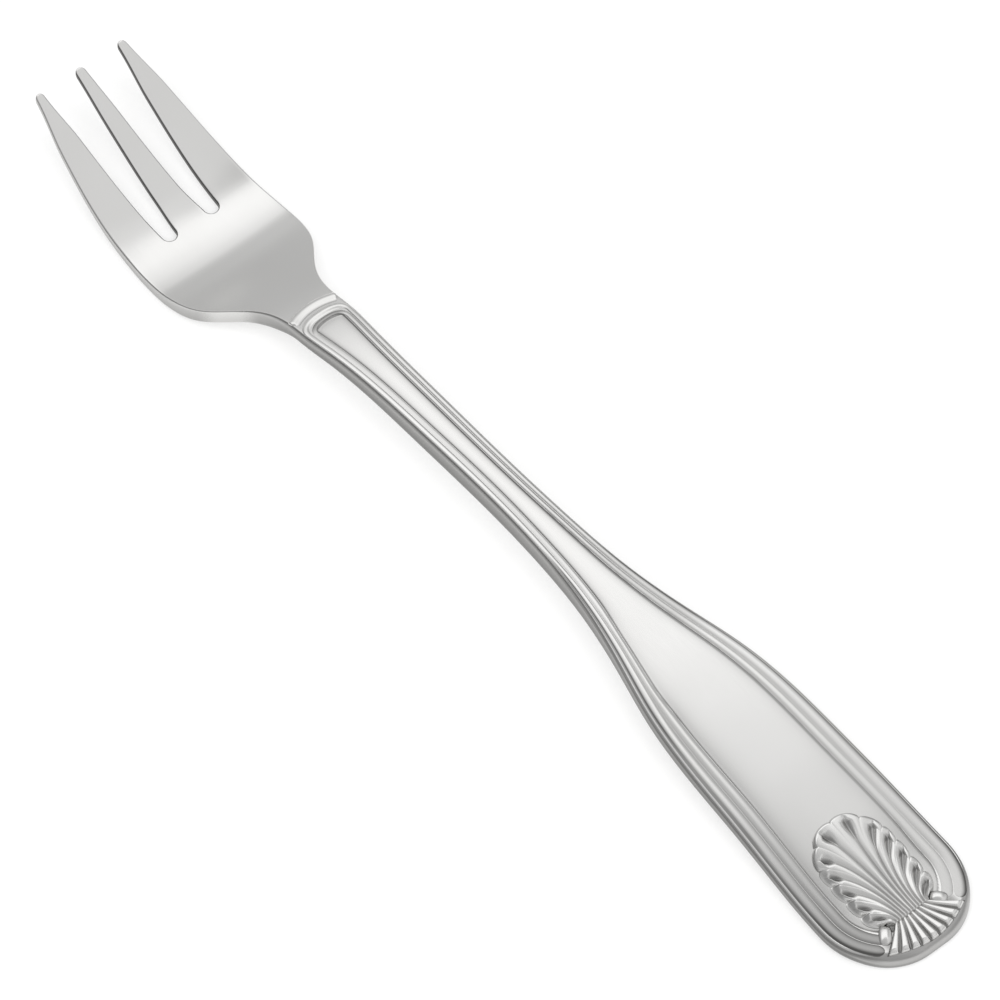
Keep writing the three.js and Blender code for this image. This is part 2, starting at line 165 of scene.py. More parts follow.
def half(s):
    """Half the width, also round the handle's end."""
    s = np.asarray(s, float)
    turn = np.arccos(np.clip(1 - s / END_ROUND, 0, 1))
    return np.where(s < END_ROUND, END_FLAT + (END_HALF - END_FLAT) * np.sin(turn),
                    straight_half(np.maximum(s, END_ROUND)))


# The struck border: a plain margin, the outer thread, the inner thread, and then the sunk panel. A pair
# of sizes is for the blade and for the stem.
NARROW_START = 23
NARROW_END = 66
MARGIN = 0.4, 0.34
OUTER_WIDTH = 1.4, 0.58
INNER_WIDTH = 1.28, 0.58
THREAD_GAP = 0.05
PANEL_GAP = 0.06
RIGHT_NARROWER = 0.3
LEFT_NARROWER = 0.22
STEP_DEPTH = 0.16
STEP_REACH = 0.1
CROWN_SLOPE = 0.08
CROWN_REACH = 1.2, 0.4
PANEL_END = 102.15
PANEL_END_BOW = 0.35
PANEL_END_HALF = 1.7


def on_stem(s):
    return smooth(FLARE_START, STEM_START, s)


def narrowing(s):
    return smooth(NARROW_START, NARROW_END, s)


def margin(s):
    return lerp(*MARGIN, narrowing(s))


def outer_width(s):
    return lerp(*OUTER_WIDTH, narrowing(s))


def inner_width(s):
    return lerp(*INNER_WIDTH, narrowing(s))


def outer_offset(s):
    return margin(s) + outer_width(s) / 2


def inner_offset(s):
    return margin(s) + outer_width(s) + THREAD_GAP + inner_width(s) / 2


def border(s):
    return inner_offset(s) + inner_width(s) / 2 + PANEL_GAP


END_BORDER = float(border(END_ROUND))
OUT_OF_REACH = 99


def right_shift(s):
    """How much narrower the border is struck on the right of the blade."""
    return RIGHT_NARROWER * (1 - narrowing(s)) * smooth(9, 15, s)


def left_shift(s):
    """How much narrower the border is struck on the left of the flare."""
    return LEFT_NARROWER * smooth(37, 42, s) * (1 - smooth(48, 54, s))


def crown_reach(s):
    return lerp(*CROWN_REACH, narrowing(s))


def panel_depth(s):
    return STEP_DEPTH - CROWN_SLOPE * crown_reach(s)


def panel_edges(s, y):
    """Distances inside the panel's edge on the point's own side, its other edge and its neck end."""
    s, y = np.broadcast_arrays(np.asarray(s, float), np.asarray(y, float))
    wide = half(s) - border(s)
    long_axis = END_ROUND - END_BORDER
    reach = np.hypot((END_ROUND - s) / long_axis, y / (END_HALF - END_BORDER))
    round_end = (1 - reach) * long_axis
    left = np.where(s < END_ROUND, round_end, wide - y)
    right = np.where(s < END_ROUND, round_end + OUT_OF_REACH, wide + y)
    own, other = np.where(y < 0, right, left), np.where(y < 0, left, right)
    own = own + np.where(y < 0, right_shift(s), left_shift(s))
    other = other + np.where(y < 0, left_shift(s), right_shift(s))
    return own, other, PANEL_END - PANEL_END_BOW * (y / PANEL_END_HALF)**2 - s


def sink(s, y):
    """How far the panel lies under the face: a step at its edge, then a low crown."""
    step = 1.0
    crown = 1.0
    for distance in panel_edges(s, y):
        d = np.maximum(distance, 0)
        step = step * (1 - np.exp(-d / STEP_REACH))
        crown = crown * (1 - np.exp(-d / crown_reach(s)))
    return STEP_DEPTH * step - CROWN_SLOPE * crown_reach(s) * crown


def panel_shade(s, y):
    """Painted shade: darker in the corner round the panel, over its sides, beside the shell and between
    the ribs; less on the left of the flare.
    """
    d = np.minimum.reduce(panel_edges(s, y))
    inside = d > 0
    corner = lerp(0.06, 0.4, narrowing(s)) * np.exp(-np.abs(d - 0.06) / 0.2)
    blade_right = (1 - smooth(-2, 2, y)) * (1 - narrowing(s))
    fade = np.exp(-np.maximum(d, 0) / lerp(0.9, 0.35, narrowing(s)))
    panel = (0.36 - 0.2 * blade_right) * fade * inside
    panel = panel + 0.14 * smooth(-1, 3, y) * (1 - smooth(8, 26, s)) * inside
    panel = panel + 0.2 * (1 - smooth(-4, -2, y)) * (1 - smooth(11, 18, s)) * inside
    soft = 1 - 0.55 * smooth(0, 2, y) * smooth(37, 42, s) * (1 - smooth(49, 54, s))
    ribs = 0.6 * (1 - smooth(3.2, 4.4, s)) * (1 - smooth(4.4, 5.6, np.abs(y)))
    return np.clip((corner + panel) * soft + ribs, 0, 1)


DISH_CURVE = 0.0042
DISH_LEVEL = 0.55


def dish(s, y):
    """The head is a little hollow across."""
    s = np.asarray(s, float)
    depth = DISH_CURVE * smooth(HEAD_START, 117, s) * (1 - smooth(127, 137, s))
    return depth * (y * y - DISH_LEVEL * half(s)**2)


def top(s, y):
    return face(s) - sink(s, y) + dish(s, y)


# A patch is a grid of points: station, y, z and how much shade is painted there. Points that agree to
# within one part in WELD of a millimetre are one point.
WELD = 2e4


def points4(s, y, z, dark=0.0):
    return np.stack(np.broadcast_arrays(*(np.asarray(v, float) for v in (s, y, z, dark))), -1)


def weld(patches, rings=()):
    """Joins patches along the points they share, and closes the piece with flat caps."""
    points, faces, caps = [], [], []
    start = 0
    for patch in patches:
        rows, columns = patch.shape[:2]
        corner = np.arange(rows - 1)[:, None] * columns + np.arange(columns - 1)[None, :] + start
        quads = np.stack([corner, corner + 1, corner + columns + 1, corner + columns], -1)
        faces.append(quads.reshape(-1, 4))
        points.append(patch.reshape(-1, 4))
        start += rows * columns
    for ring in rings:
        points.append(ring)
        caps.append(np.arange(start, start + len(ring)))
        start += len(ring)
    points = np.concatenate(points)
    keys = np.round(points[:, :3] * WELD).astype(np.int64)
    first, index = np.unique(keys, axis=0, return_index=True, return_inverse=True)[1:]
    index = index.reshape(-1)
    polygons = []
    for quad in index[np.concatenate(faces)].tolist():
        kept = [v for i, v in enumerate(quad) if v != quad[i - 1]]
        if len(kept) > 2 and len(set(kept)) == len(kept):
            polygons.append(kept)
    flat_from = len(polygons)
    for ring in caps:
        loop = index[ring].tolist()
        polygons.append([v for i, v in enumerate(loop) if v != loop[i - 1]])
    used = np.unique(np.concatenate([np.array(p) for p in polygons]))
    place = np.full(len(first), -1)
    place[used] = np.arange(len(used))
    polygons = [place[p].tolist() for p in polygons]
    return points[first[used]], polygons, flat_from


def make_mesh(name, built):
    """A mesh with all its faces turned outwards, and the painted shade as a point attribute."""
    points, polygons, flat_from = built
    placed = points[:, :3] - (MIDDLE, 0, 0)
    mesh = bpy.data.meshes.new(name)
    mesh.from_pydata((placed * MM).tolist(), [], polygons)
    work = bmesh.new()
    work.from_mesh(mesh)
    bmesh.ops.recalc_face_normals(work, faces=work.faces)
    if work.calc_volume(signed=True) < 0:
        bmesh.ops.reverse_faces(work, faces=work.faces)
    work.to_mesh(mesh)
    work.free()
    mesh.polygons.foreach_set("use_smooth", [True] * len(mesh.polygons))
    dark = mesh.attributes.new("dark", "FLOAT", "POINT")
    dark.data.foreach_set("value", points[:, 3].astype(np.float32))
    return mesh


def make_piece(name, mesh, material, node):
    piece = bpy.data.objects.new(name, mesh)
    bpy.context.scene.collection.objects.link(piece)
    mesh.materials.append(material)
    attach(piece, "root")
    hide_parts(node)


# The blank's edge is rounded above and below, and goes from the top face down to the underside.
MIRROR = 1, -1, 1, 1
ARC = 8
ARC_TURN = np.linspace(0, math.pi / 2, ARC)
# RIGHT_LINE: painted dark line along the right upper edge; SLOT_DARK: painted shade on the slot walls.
RIGHT_LINE = 0.85
SLOT_DARK = 1.0
SLOT_ROUND = 0.2
SLOT_ROUND_DOWN = 0.3
SLOT_BELOW = 0.42
SLOT_BELOW_DOWN = 0.7
SHEET_END = SLOT_ROOT - SLOT_RADIUS - SLOT_ROUND


HEAD_FULL = 113
# Radii on the stem, the blade, the head and the tail: across and down above, across and down below.
EDGE_ROUNDS = ((0.45, 0.34, 0.25, 1.0), (0.8, 0.6, 0.3, 1.15),
               (0.45, 0.95, 0.35, 0.6), (0.9, 1.35, 0.5, 0.85))


def on_head(s):
    return smooth(NECK_START, HEAD_FULL, s)


def edge_rounds(s, tail=0.0):
    """Radii of the rounded edges at a station, in the order of EDGE_ROUNDS."""
    return [lerp(lerp(lerp(stem, blade, 1 - on_stem(s)), head, on_head(s)), end, tail)
            for stem, blade, head, end in EDGE_ROUNDS]


def edge_painted_shade(s, tail=0.0):
    """Painted shade of the wall and of the dark line along its upper edge; both are painted lighter at
    the head's belly.
    """
    belly = smooth(109, 112, s) * (1 - smooth(116, 119, s))
    line = lerp(lerp(0.92, 0.72, on_stem(s)), 0.45, on_head(s)) - 0.3 * belly
    bright = smooth(108.5, 111, s) * (1 - smooth(112.5, 115, s))
    level = lerp(lerp(0.74, 0.58, tail), 0.42, on_head(s)) - 0.3 * bright
    return {"level": level, "shoulder": lerp(line, 0.55, tail),
            "late": 0.2 * (1 - on_stem(s)) * (1 - tail)}


def edge_profile(depth, over, over_down, below, below_down, level, shoulder, early=0.0, late=0.0):
    """Inset, drop and painted shade of the points down an edge of the given depth.

    level: painted shade of the wall; shoulder: of the painted dark line on the upper edge; early: of
    its upper part; late: how far down the rounding that line lies."""
    inset = np.concatenate([over * (1 - np.sin(ARC_TURN)), below * (1 - np.cos(ARC_TURN))])
    drop = np.concatenate([over_down * (1 - np.cos(ARC_TURN)),
                           depth - below_down + below_down * np.sin(ARC_TURN)])
    share = ARC_TURN / ARC_TURN[-1]
    wave = np.sin(math.pi * np.clip(share * 1.2 - 0.1 - late, 0, 1))
    line = shoulder * np.clip(1.7 * wave - 0.35, 0, 1)
    line = np.maximum(line, early * smooth(0, 0.12, share))
    dark = np.concatenate([np.maximum(line, level * smooth(0.3 + late, 1, share)),
                           (level + 0.14) * (1 - smooth(0.75, 1, share))])
    return inset, drop, dark


def edge_points(stations, y, s, drop, dark, squeeze=1.0):
    """Points down an edge, from the top face with its dish to the underside."""
    depth = float(thick(s))
    rise = float(top(stations[0], y[0]) - face(stations[0]))
    level = face(stations) - drop + rise * np.clip(1 - 1.6 * drop / depth, 0, 1)
    middle = face(stations) - depth / 2
    return points4(stations, y, middle + (level - middle) * squeeze, dark)


def right_edge(left, share):
    """The right edge mirrors the left one. Along the blade the painted dark line on its upper edge is
    wider.
    """
    right = left * MIRROR
    line = RIGHT_LINE * share * smooth(0, 0.2, ARC_TURN / ARC_TURN[-1])
    right[:ARC, 3] = np.maximum(right[:ARC, 3], line)
    return right


def panel_columns(s, face_half):
    """Places across the top face, close together at the panel's edges."""
    q = np.linspace(0, 1, 27)
    sides = []
    for shift in (float(left_shift(s)), float(right_shift(s))):
        wide = float(half(s) - border(s)) + shift
        wide = min(max(wide, 0.4 * face_half), 0.97 * face_half)
        sides.append(np.concatenate([np.linspace(face_half, wide, 6)[:-1], wide * (1 - q**2)]))
    return np.concatenate([sides[0], -sides[1][-2::-1]])


SIDE_COLUMNS = 14
MID_COLUMNS = 12


def head_columns(s, face_half):
    """Places across the head, with one at each slot's middle."""
    centre = SLOT_CENTRE * min(float(half(s) / half(SHEET_END)), 1)
    side = np.linspace(face_half, centre, SIDE_COLUMNS + 1)
    middle = np.linspace(centre, -centre, MID_COLUMNS + 1)
    return np.concatenate([side, middle[1:-1], -side[::-1]])


def section_rows(stations, columns, low_columns=None):
    """Top, underside, left edge and right edge patches, one row for each station."""
    patches = [], [], [], []
    for s in stations:
        inset, drop, dark = edge_profile(float(thick(s)), *edge_rounds(s), **edge_painted_shade(s))
        wide = float(half(s)) - inset
        level = np.full_like(wide, s)
        left = edge_points(level, wide, s, drop, dark)
        y = columns(s, wide[0])
        low = (low_columns or columns)(s, wide[-1])
        rows = (points4(s, y, top(s, y), panel_shade(s, y)), points4(s, low, under(s)), left,
                right_edge(left, 1 - on_stem(s)))
        for patch, row in zip(patches, rows):
            patch.append(row)
    return [np.array(p) for p in patches]


def section_ring(patches, row):
    tops, unders, left, right = patches
    return np.concatenate([tops[row], right[row][1:-1], unders[row][::-1], left[row][::-1][1:-1]])


def plain_columns(s, low_half):
    return np.linspace(low_half, -low_half, 21)


def build_region(*stations):
    patches = section_rows(np.concatenate(stations), panel_columns, plain_columns)
    return weld(patches, [section_ring(patches, 0), section_ring(patches, -1)])


def build_handle_end():
    """The round end: rows go straight across between points that follow the outline."""
    patches = [], [], [], []
    for turn in np.linspace(math.pi / 2, 0, 65):
        s = END_ROUND * (1 - math.cos(turn))
        y = END_FLAT + (END_HALF - END_FLAT) * math.sin(turn)
        out = np.array([-(END_HALF - END_FLAT) * math.cos(turn), END_ROUND * math.sin(turn)])
        out /= np.linalg.norm(out)
        tail = float(1 - smooth(0.55, 1.0, math.sin(turn)))
        # At the tail a painted dark band lies on the upper part of the edge.
        inset, drop, dark = edge_profile(float(thick(s)), *edge_rounds(s, tail),
                                         **edge_painted_shade(s, tail), early=0.5 * tail)
        stations = s - inset * out[0]
        wide = y - inset * out[1]
        left = edge_points(stations, wide, s, drop, dark)
        across = panel_columns(stations[0], wide[0])
        low = plain_columns(s, wide[-1])
        s_top = stations[0]
        rows = (points4(s_top, across, top(s_top, across), panel_shade(s_top, across)),
                points4(stations[-1], low, left[-1, 2]), left, right_edge(left, 1 - tail))
        for patch, row in zip(patches, rows):
            patch.append(row)
    patches = [np.array(p) for p in patches]
    tops, unders, left, right = patches
    walls = [np.stack([left[-1][k], right[-1][k]]) for k in range(1, 2 * ARC - 1)]
    lines = [tops[-1]] + walls + [unders[-1]]
    tail_strips = [np.concatenate([a, b[::-1]]) for a, b in zip(lines, lines[1:])]
    return weld(patches, [section_ring(patches, 0)] + tail_strips)


# The head is one sheet to the slot ends, then three strips, then the tines.
def slot_edge(s, side):
    share = (s - SLOT_ROOT) / (FORK_LENGTH - SLOT_ROOT)
    return lerp(SLOT_CENTRE, SLOT_MOUTH_CENTRE, share) + side * lerp(SLOT_RADIUS, SLOT_MOUTH / 2, share)


def slot_profile(s):
    return edge_profile(float(thick(s)), SLOT_ROUND, SLOT_ROUND_DOWN, SLOT_BELOW, SLOT_BELOW_DOWN,
                        SLOT_DARK, SLOT_DARK)


def strip_patches(rows):
    """Patches of a strip from rows of (station, left edge, right edge, columns, squeeze)."""
    patches = [], [], [], []
    for s, left, right, columns, squeeze in rows:
        y = np.linspace(left[0, 1], right[0, 1], columns + 1)
        middle = face(s) - thick(s) / 2
        strip = (points4(s, y, middle + (top(s, y) - middle) * squeeze),
                 np.linspace(left[-1], right[-1], columns + 1), left, right)
        for patch, row in zip(patches, strip):
            patch.append(row)
    return [np.array(p) for p in patches]


def build_bowl():
    sheet = section_rows(np.linspace(HEAD_START, SHEET_END, 70), head_columns)
    strips = {"left": [], "middle": [], "right": []}
    for turn in np.linspace(0, math.pi / 2, 15):
        s = SLOT_ROOT - (SLOT_RADIUS + SLOT_ROUND) * math.cos(turn)
        inset, drop, dark = edge_profile(float(thick(s)), *edge_rounds(s), **edge_painted_shade(s))
        wide = float(half(s)) - inset
        outer = edge_points(np.full_like(wide, s), wide, s, drop, dark)
        inset, drop, dark = slot_profile(s)
        inset[ARC:] *= lerp(SLOT_ROUND / SLOT_BELOW, 1, math.sin(turn))
        along = SLOT_ROOT - (SLOT_RADIUS + inset) * math.cos(turn)
        gap = (SLOT_RADIUS + inset) * math.sin(turn)
        outside = edge_points(along, SLOT_CENTRE + gap, s, drop, dark)
        inside = edge_points(along, SLOT_CENTRE - gap, s, drop, dark)
        strips["left"].append((s, outer, outside, SIDE_COLUMNS, 1.0))
        strips["middle"].append((s, inside, inside * MIRROR, MID_COLUMNS, 1.0))
        strips["right"].append((s, outside * MIRROR, outer * MIRROR, SIDE_COLUMNS, 1.0))
    patches = list(sheet)
    rings = [section_ring(sheet, 0)]
    for rows in strips.values():
        made = strip_patches(rows)
        patches += made
        rings.append(section_ring(made, -1))
    return weld(patches, rings)


POINT_START = 139.5
LEAN_START = 132
POINT_NARROW = {"left": 0.32, "middle": 0.14, "right": 0.27}
TINE_LEAN = {"left": 0.42, "middle": 0.36, "right": 0.05}


def build_tine(name):
    """A tine that narrows to a small round point."""
    def sides(s):
        if name == "middle":
            reach = float(slot_edge(s, -1) - 0.16 * smooth(SLOT_ROOT, SLOT_ROOT + 4, s))
            return reach, -reach
        return float(half(s)), float(slot_edge(s, 1))

    left, right = sides(FORK_LENGTH)
    radius = (left - right) / 2 * (1 - POINT_NARROW[name])
    round_start = FORK_LENGTH - radius
    places = [(s, 1.0) for s in np.linspace(SLOT_ROOT, round_start, 56)]
    places += [(round_start + radius * math.sin(turn), math.cos(turn))
               for turn in np.linspace(0, math.pi / 2, 15)[1:]]
    rows = []
    for s, narrow in places:
        left, right = sides(s)
        slim = 1 - POINT_NARROW[name] * float(smooth(POINT_START, FORK_LENGTH, s))
        reach = (left - right) / 2 * slim * max(narrow, 1e-9)
        centre = (left + right) / 2
        squeeze = 0.4 + 0.6 * narrow
        slot = slot_profile(s)
        outline = slot
        if name != "middle":
            outline = edge_profile(float(thick(s)), *edge_rounds(s), **edge_painted_shade(s))
        edges = []
        outline = [lerp(a, b, 1 - narrow) for a, b in zip(outline, slot)]
        for hand, (inset, drop, dark) in ((1, outline), (-1, slot)):
            wide = centre + hand * (reach - np.minimum(inset, 0.6 * reach) * narrow)
            # The painted shade of the edges fades as the tine rounds off to its point.
            painted_edge_shade = dark * (0.35 + 0.65 * narrow)
            edges.append(edge_points(np.full_like(wide, s), wide, s, drop, painted_edge_shade, squeeze))
        if name == "right":
            edges = [edge * MIRROR for edge in edges[::-1]]
        columns = MID_COLUMNS if name == "middle" else SIDE_COLUMNS
        rows.append((s, edges[0], edges[1], columns, squeeze))
    patches = strip_patches(rows)
    for patch in patches:
        share = np.maximum((patch[..., 0] - LEAN_START) / (FORK_LENGTH - LEAN_START), 0)
        patch[..., 1] += TINE_LEAN[name] * share**1.5
    return weld(patches, [section_ring(patches, 0)])


# Threads and arches are rounded beads along a line on the face.
BEAD_COLUMNS = 17
BEAD_POWER = 2.4
BEAD_SUNK = 0.14
LINE_REACH = 0.28


def bead(path, width, height, feet, narrow=6.0, base=0.0, skew=0.0, tapers=(0.0, 0.0), lift=0.0,
         line=(0.0, 0.6)):
    """Sections of a bead. feet: the painted shade along its inner and outer foot; narrow: how close the
    outer foot's painted shade keeps to it; lift: how much it lies up the bead; base: the painted shade
    all over the bead; line: the painted shade in a line along its outer slope, and the place of that
    line."""
    path = np.asarray(path, float)

    def column(value):
        return np.broadcast_to(np.asarray(value, float), len(path))[:, None]

    along = np.gradient(path, axis=0)
    along /= np.linalg.norm(along, axis=1)[:, None]
    run = np.concatenate([[0], np.cumsum(np.linalg.norm(np.diff(path, axis=0), axis=1))])
    scale = np.ones(len(path))
    for taper, distance in zip(tapers, (run, run[-1] - run)):
        if taper:
            scale *= np.sqrt(1 - (1 - np.clip(distance / taper, 0.02, 1))**2)
    place = -np.cos(np.linspace(0, math.pi, BEAD_COLUMNS))[None, :]
    offset = place * column(width * scale) / 2
    s = path[:, :1] - along[:, 1:] * offset
    y = path[:, 1:] + along[:, :1] * offset
    lean = ((place + 1) / 2)**(1 + column(skew))
    z = face(s) + (1 - np.abs(2 * lean - 1)**BEAD_POWER) * column(height * scale)
    outer_foot = np.abs(place)**column(narrow)
    outer_foot = outer_foot * (1 - 0.7 * column(lift) * smooth(0.75, 1, np.abs(place)))
    slope = column(line[0]) * np.exp(-((place - column(line[1])) / LINE_REACH)**2)
    outer_side = np.maximum(column(feet[1]) * outer_foot, slope)
    foot = np.where(place < 0, column(feet[0]) * place**6, outer_side)
    crest = points4(s, y, z, np.clip(column(base) + foot, 0, 1))
    low = crest[:, [-1, 0]] - (0, 0, BEAD_SUNK, 0)
    return np.concatenate([crest, low, crest[:, :1]], 1)


def close_bead(sections):
    return weld([sections], [sections[0][:-1], sections[-1][:-1]])


def inside_outline(turn, distance):
    """A point inside the round end's outline, at a turn from the tail."""
    turn = np.asarray(turn, float)
    out = np.stack([-(END_HALF - END_FLAT) * np.cos(turn), END_ROUND * np.sin(turn)], -1)
    out /= np.linalg.norm(out, axis=-1, keepdims=True)
    edge = np.stack([END_ROUND * (1 - np.cos(turn)),
                     END_FLAT + (END_HALF - END_FLAT) * np.sin(turn)], -1)
    return edge - out * distance


ARCH_POWER = 2 / 2.5
BAND_APEX = 104.95
BAND_HALF = 3.18
ARCH_SPRING = 101.7
ARCH_APEX = 103.3
INNER_SPRING = 100.9
INNER_APEX = 102.45
OUTER_FIRST_TURN = 38
INNER_FIRST_TURN = 36


def thread_line(offset, first_turn, spring, apex):
    """The line of a pair of threads: up the left edge, over an arch and down the right edge.

    Also each point's rise on the arch from 0 to 1, and the number of points on one edge."""
    turns = np.linspace(math.radians(first_turn), math.pi / 2, 50)
    bend = inside_outline(turns, float(offset(END_ROUND)))
    stations = np.linspace(END_ROUND, spring, 190)[1:]
    left = np.concatenate([bend, np.stack([stations, half(stations) - offset(stations)], 1)])
    turn = np.linspace(0, math.pi, 101)[1:-1]
    arch = np.stack([spring + (apex - spring) * np.sin(turn)**ARCH_POWER,
                     left[-1, 1] * np.sign(np.cos(turn)) * np.abs(np.cos(turn))**ARCH_POWER], 1)
    flat = np.zeros(len(left))
    return (np.concatenate([left, arch, left[::-1] * (1, -1)]),
            np.concatenate([flat, np.sin(turn), flat]), len(left))


# The shell: flutes leave the hinge side by side, bend outwards and end in a hollow near the rim.
# Flute lines counted from the middle: y and station of the end at the rim, and of the bend.
FLUTES = [(0, 0, 18.3, 0, 15.5), (0.5, 1.9, 17.95, 0.5, 15.0), (1.5, 4.3, 15.5, 0.85, 13.4),
          (2.5, 4.85, 13.5, 1.15, 10.9), (3.5, 4.92, 11.3, 1.3, 8.3), (4.5, 4.85, 8.9, 1.85, 6.7),
          (5.5, 4.7, 6.6, 2.15, 5.7), (6, 4.3, 5.4, 2.5, 5.0)]
rim_y, rim_s, bend_y, bend_s = (
    curve([(row[0], row[column]) for row in FLUTES], level_start=column in (2, 4))
    for column in (1, 2, 3, 4))
HALF_FLUTES = 6
FLUTE_COLUMNS = 28
FAN_ROWS = 110
HINGE_STATION = 4.45
HINGE_HALF = 2.4
FAN_SUNK = 0.1
FLUTE_BULGE = 0.06
HOLLOW_DEPTH = 0.3
MIDDLE_LOBE = 0.75
SIDE_LOBE = 0.45
RIM_ROUND = 0.5
SOFT_RIM_ROUND = 1.1


def fan_point(v, t):
    """Plan place on the fan: v counts flutes from the middle, t runs from the hinge to the rim."""
    k = np.abs(v)
    y = (1 - t)**2 * HINGE_HALF / HALF_FLUTES * k + 2 * t * (1 - t) * bend_y(k) + t**2 * rim_y(k)
    s = (1 - t)**2 * HINGE_STATION + 2 * t * (1 - t) * bend_s(k) + t**2 * rim_s(k)
    return s, np.sign(v) * y


def pad(upper, low):
    """A closed piece from a grid of top points and the height of its base."""
    lower = upper.copy()
    lower[..., 2] = low
    rims = [np.concatenate([grid[0], grid[1:, -1], grid[-1, -2::-1], grid[-2:0:-1, 0], grid[:1, 0]])
            for grid in (upper, lower)]
    return weld([upper, lower, np.stack(rims)])


def build_fan():
    """The shell. run is the distance back from the rim, and pitch is the width of a flute."""
    v = np.linspace(-HALF_FLUTES, HALF_FLUTES, 2 * HALF_FLUTES * FLUTE_COLUMNS + 1)[None, :]
    t = (1 - (1 - np.linspace(0, 1, FAN_ROWS))**1.4)[:, None]
    from_groove = np.abs(v - (np.floor(v) + 0.5))
    lobe = np.sqrt(np.maximum(1 - (2 * from_groove)**2, 0))
    plain_s, plain_y = fan_point(v + 0 * t, t + 0 * v)
    along = np.stack([np.gradient(plain_s, axis=0), np.gradient(plain_y, axis=0)])
    across = np.stack([np.gradient(plain_s, axis=1), np.gradient(plain_y, axis=1)])
    across = across / (v[0, 1] - v[0, 0])
    length = np.maximum(np.hypot(*along), 1e-6)
    pitch = np.abs(along[0] * across[1] - along[1] * across[0]) / length
    steps = np.hypot(np.diff(plain_s, axis=0), np.diff(plain_y, axis=0))
    run = np.concatenate([np.cumsum(steps[::-1], axis=0)[::-1], np.zeros_like(v)])
    notch = lerp(MIDDLE_LOBE, SIDE_LOBE, smooth(0.5, 2.5, np.abs(v)))
    s, y = fan_point(v + 0 * t, t * (1 - notch * (1 - lobe) / run[:1]))
    left = smooth(-1, 1.5, v)
    hollow = smooth(0.7, 1.1, run) * (1 - smooth(1.4, lerp(4.2, 2.5, left), run))
    wide = np.minimum(lerp(lerp(0.08, 0.11, t), lerp(0.38, 0.33, left), hollow), 0.3 * pitch)
    groove = np.exp(-(from_groove * pitch / wide)**2)
    depth = lerp(0.08, 0.12, t) * smooth(0.3, 0.8, run) + HOLLOW_DEPTH * hollow
    bulge = np.sin(np.clip(from_groove * 2, 0, 1) * math.pi / 2)
    crown = lerp(0.72, 0.6, t) + 0.16 * np.sin(math.pi * t)
    soft_rim = smooth(1.2, 2.6, v)
    round_rim = np.sqrt(1 - np.clip(1 - run / RIM_ROUND, 0, 1)**2)
    roll = lerp(round_rim, smooth(0, SOFT_RIM_ROUND, run), soft_rim)
    height = crown + FLUTE_BULGE * bulge - depth * groove
    height = height * lerp(lerp(0.15, 0.04, soft_rim), 1, roll)
    # Painted shade in the flutes' grooves and hollows, heavier on the left, and over the rolled rim.
    dark = groove * lerp(0.3, lerp(0.6, 0.85, left), hollow) * smooth(0.2, 0.5, run)
    dark = dark + lerp(0.6, 0.1, soft_rim) * (1 - roll)**2
    floor = face(s) - panel_depth(s)
    return pad(points4(s, y, floor + height, np.clip(dark, 0, 1)), floor - FAN_SUNK)


FOOT_RIBS = 9
FOOT_TURN = 36
FOOT_FROM_EDGE = 0.5
FOOT_COLUMNS = 18
FOOT_ROWS = 44
FOOT_HEIGHT = 0.54
FOOT_PITCH = 0.53, 1.1
FOOT_GROOVE = 0.09, 0.17
FOOT_DEPTH = 0.14, 0.42
FOOT_DARK = 0.3, 0.7
FOOT_ROLL = 0.14
FOOT_LOWER = 0.1
FOOT_SUNK = 0.25


def build_foot():
    """Ribs that spread from the shell's hinge to the tail."""
    v = np.linspace(-1, 1, FOOT_RIBS * FOOT_COLUMNS + 1)[None, :]
    t = np.linspace(0, 1, FOOT_ROWS)[:, None]
    outer = inside_outline(math.radians(FOOT_TURN) * np.abs(v), FOOT_FROM_EDGE)
    end_y = float(inside_outline(math.radians(FOOT_TURN), FOOT_FROM_EDGE)[1])
    s = lerp(HINGE_STATION + 0.1, outer[..., 0], t)
    y = lerp(HINGE_HALF * v, end_y * v, t**1.15)
    place = (v + 1) / 2 * FOOT_RIBS
    from_groove = np.abs(place - np.round(place))
    pitch = lerp(*FOOT_PITCH, t)
    groove = np.exp(-np.abs(from_groove * pitch / lerp(*FOOT_GROOVE, t))**lerp(2, 4, t))
    roll = np.sqrt(np.clip(1 - (np.maximum(t - (1 - FOOT_ROLL), 0) / FOOT_ROLL)**2, 0, 1))
    bulge = np.sin(np.clip(from_groove * 2, 0, 1) * math.pi / 2)
    depth = lerp(*FOOT_DEPTH, smooth(0.05, 0.7, t))
    height = (FOOT_HEIGHT + FLUTE_BULGE * bulge - depth * groove) * (0.1 + 0.9 * roll)
    # Painted shade in the grooves between the ribs, deeper towards the tail, and on their rolled ends.
    dark = np.clip(groove * lerp(*FOOT_DARK, t) + 0.6 * (1 - roll)**2, 0, 1)
    floor = face(s) - FOOT_LOWER
    return pad(points4(s, y, floor + height, dark), floor - FOOT_SUNK)


# The curls: half length, station and y of the left one and of the right one, which is shorter.
CURLS = {1: (1.3, 4.15, 4.0), -1: (1.05, 4.2, 3.6)}
CURL_HALF_WIDTH = 0.78
CURL_HEIGHT = 0.48
CURL_LOWER = 0.12
CURL_SUNK = 0.2
CURL_POWER = 2 / 2.8
CURL_ALONG = 0.65, 0.76


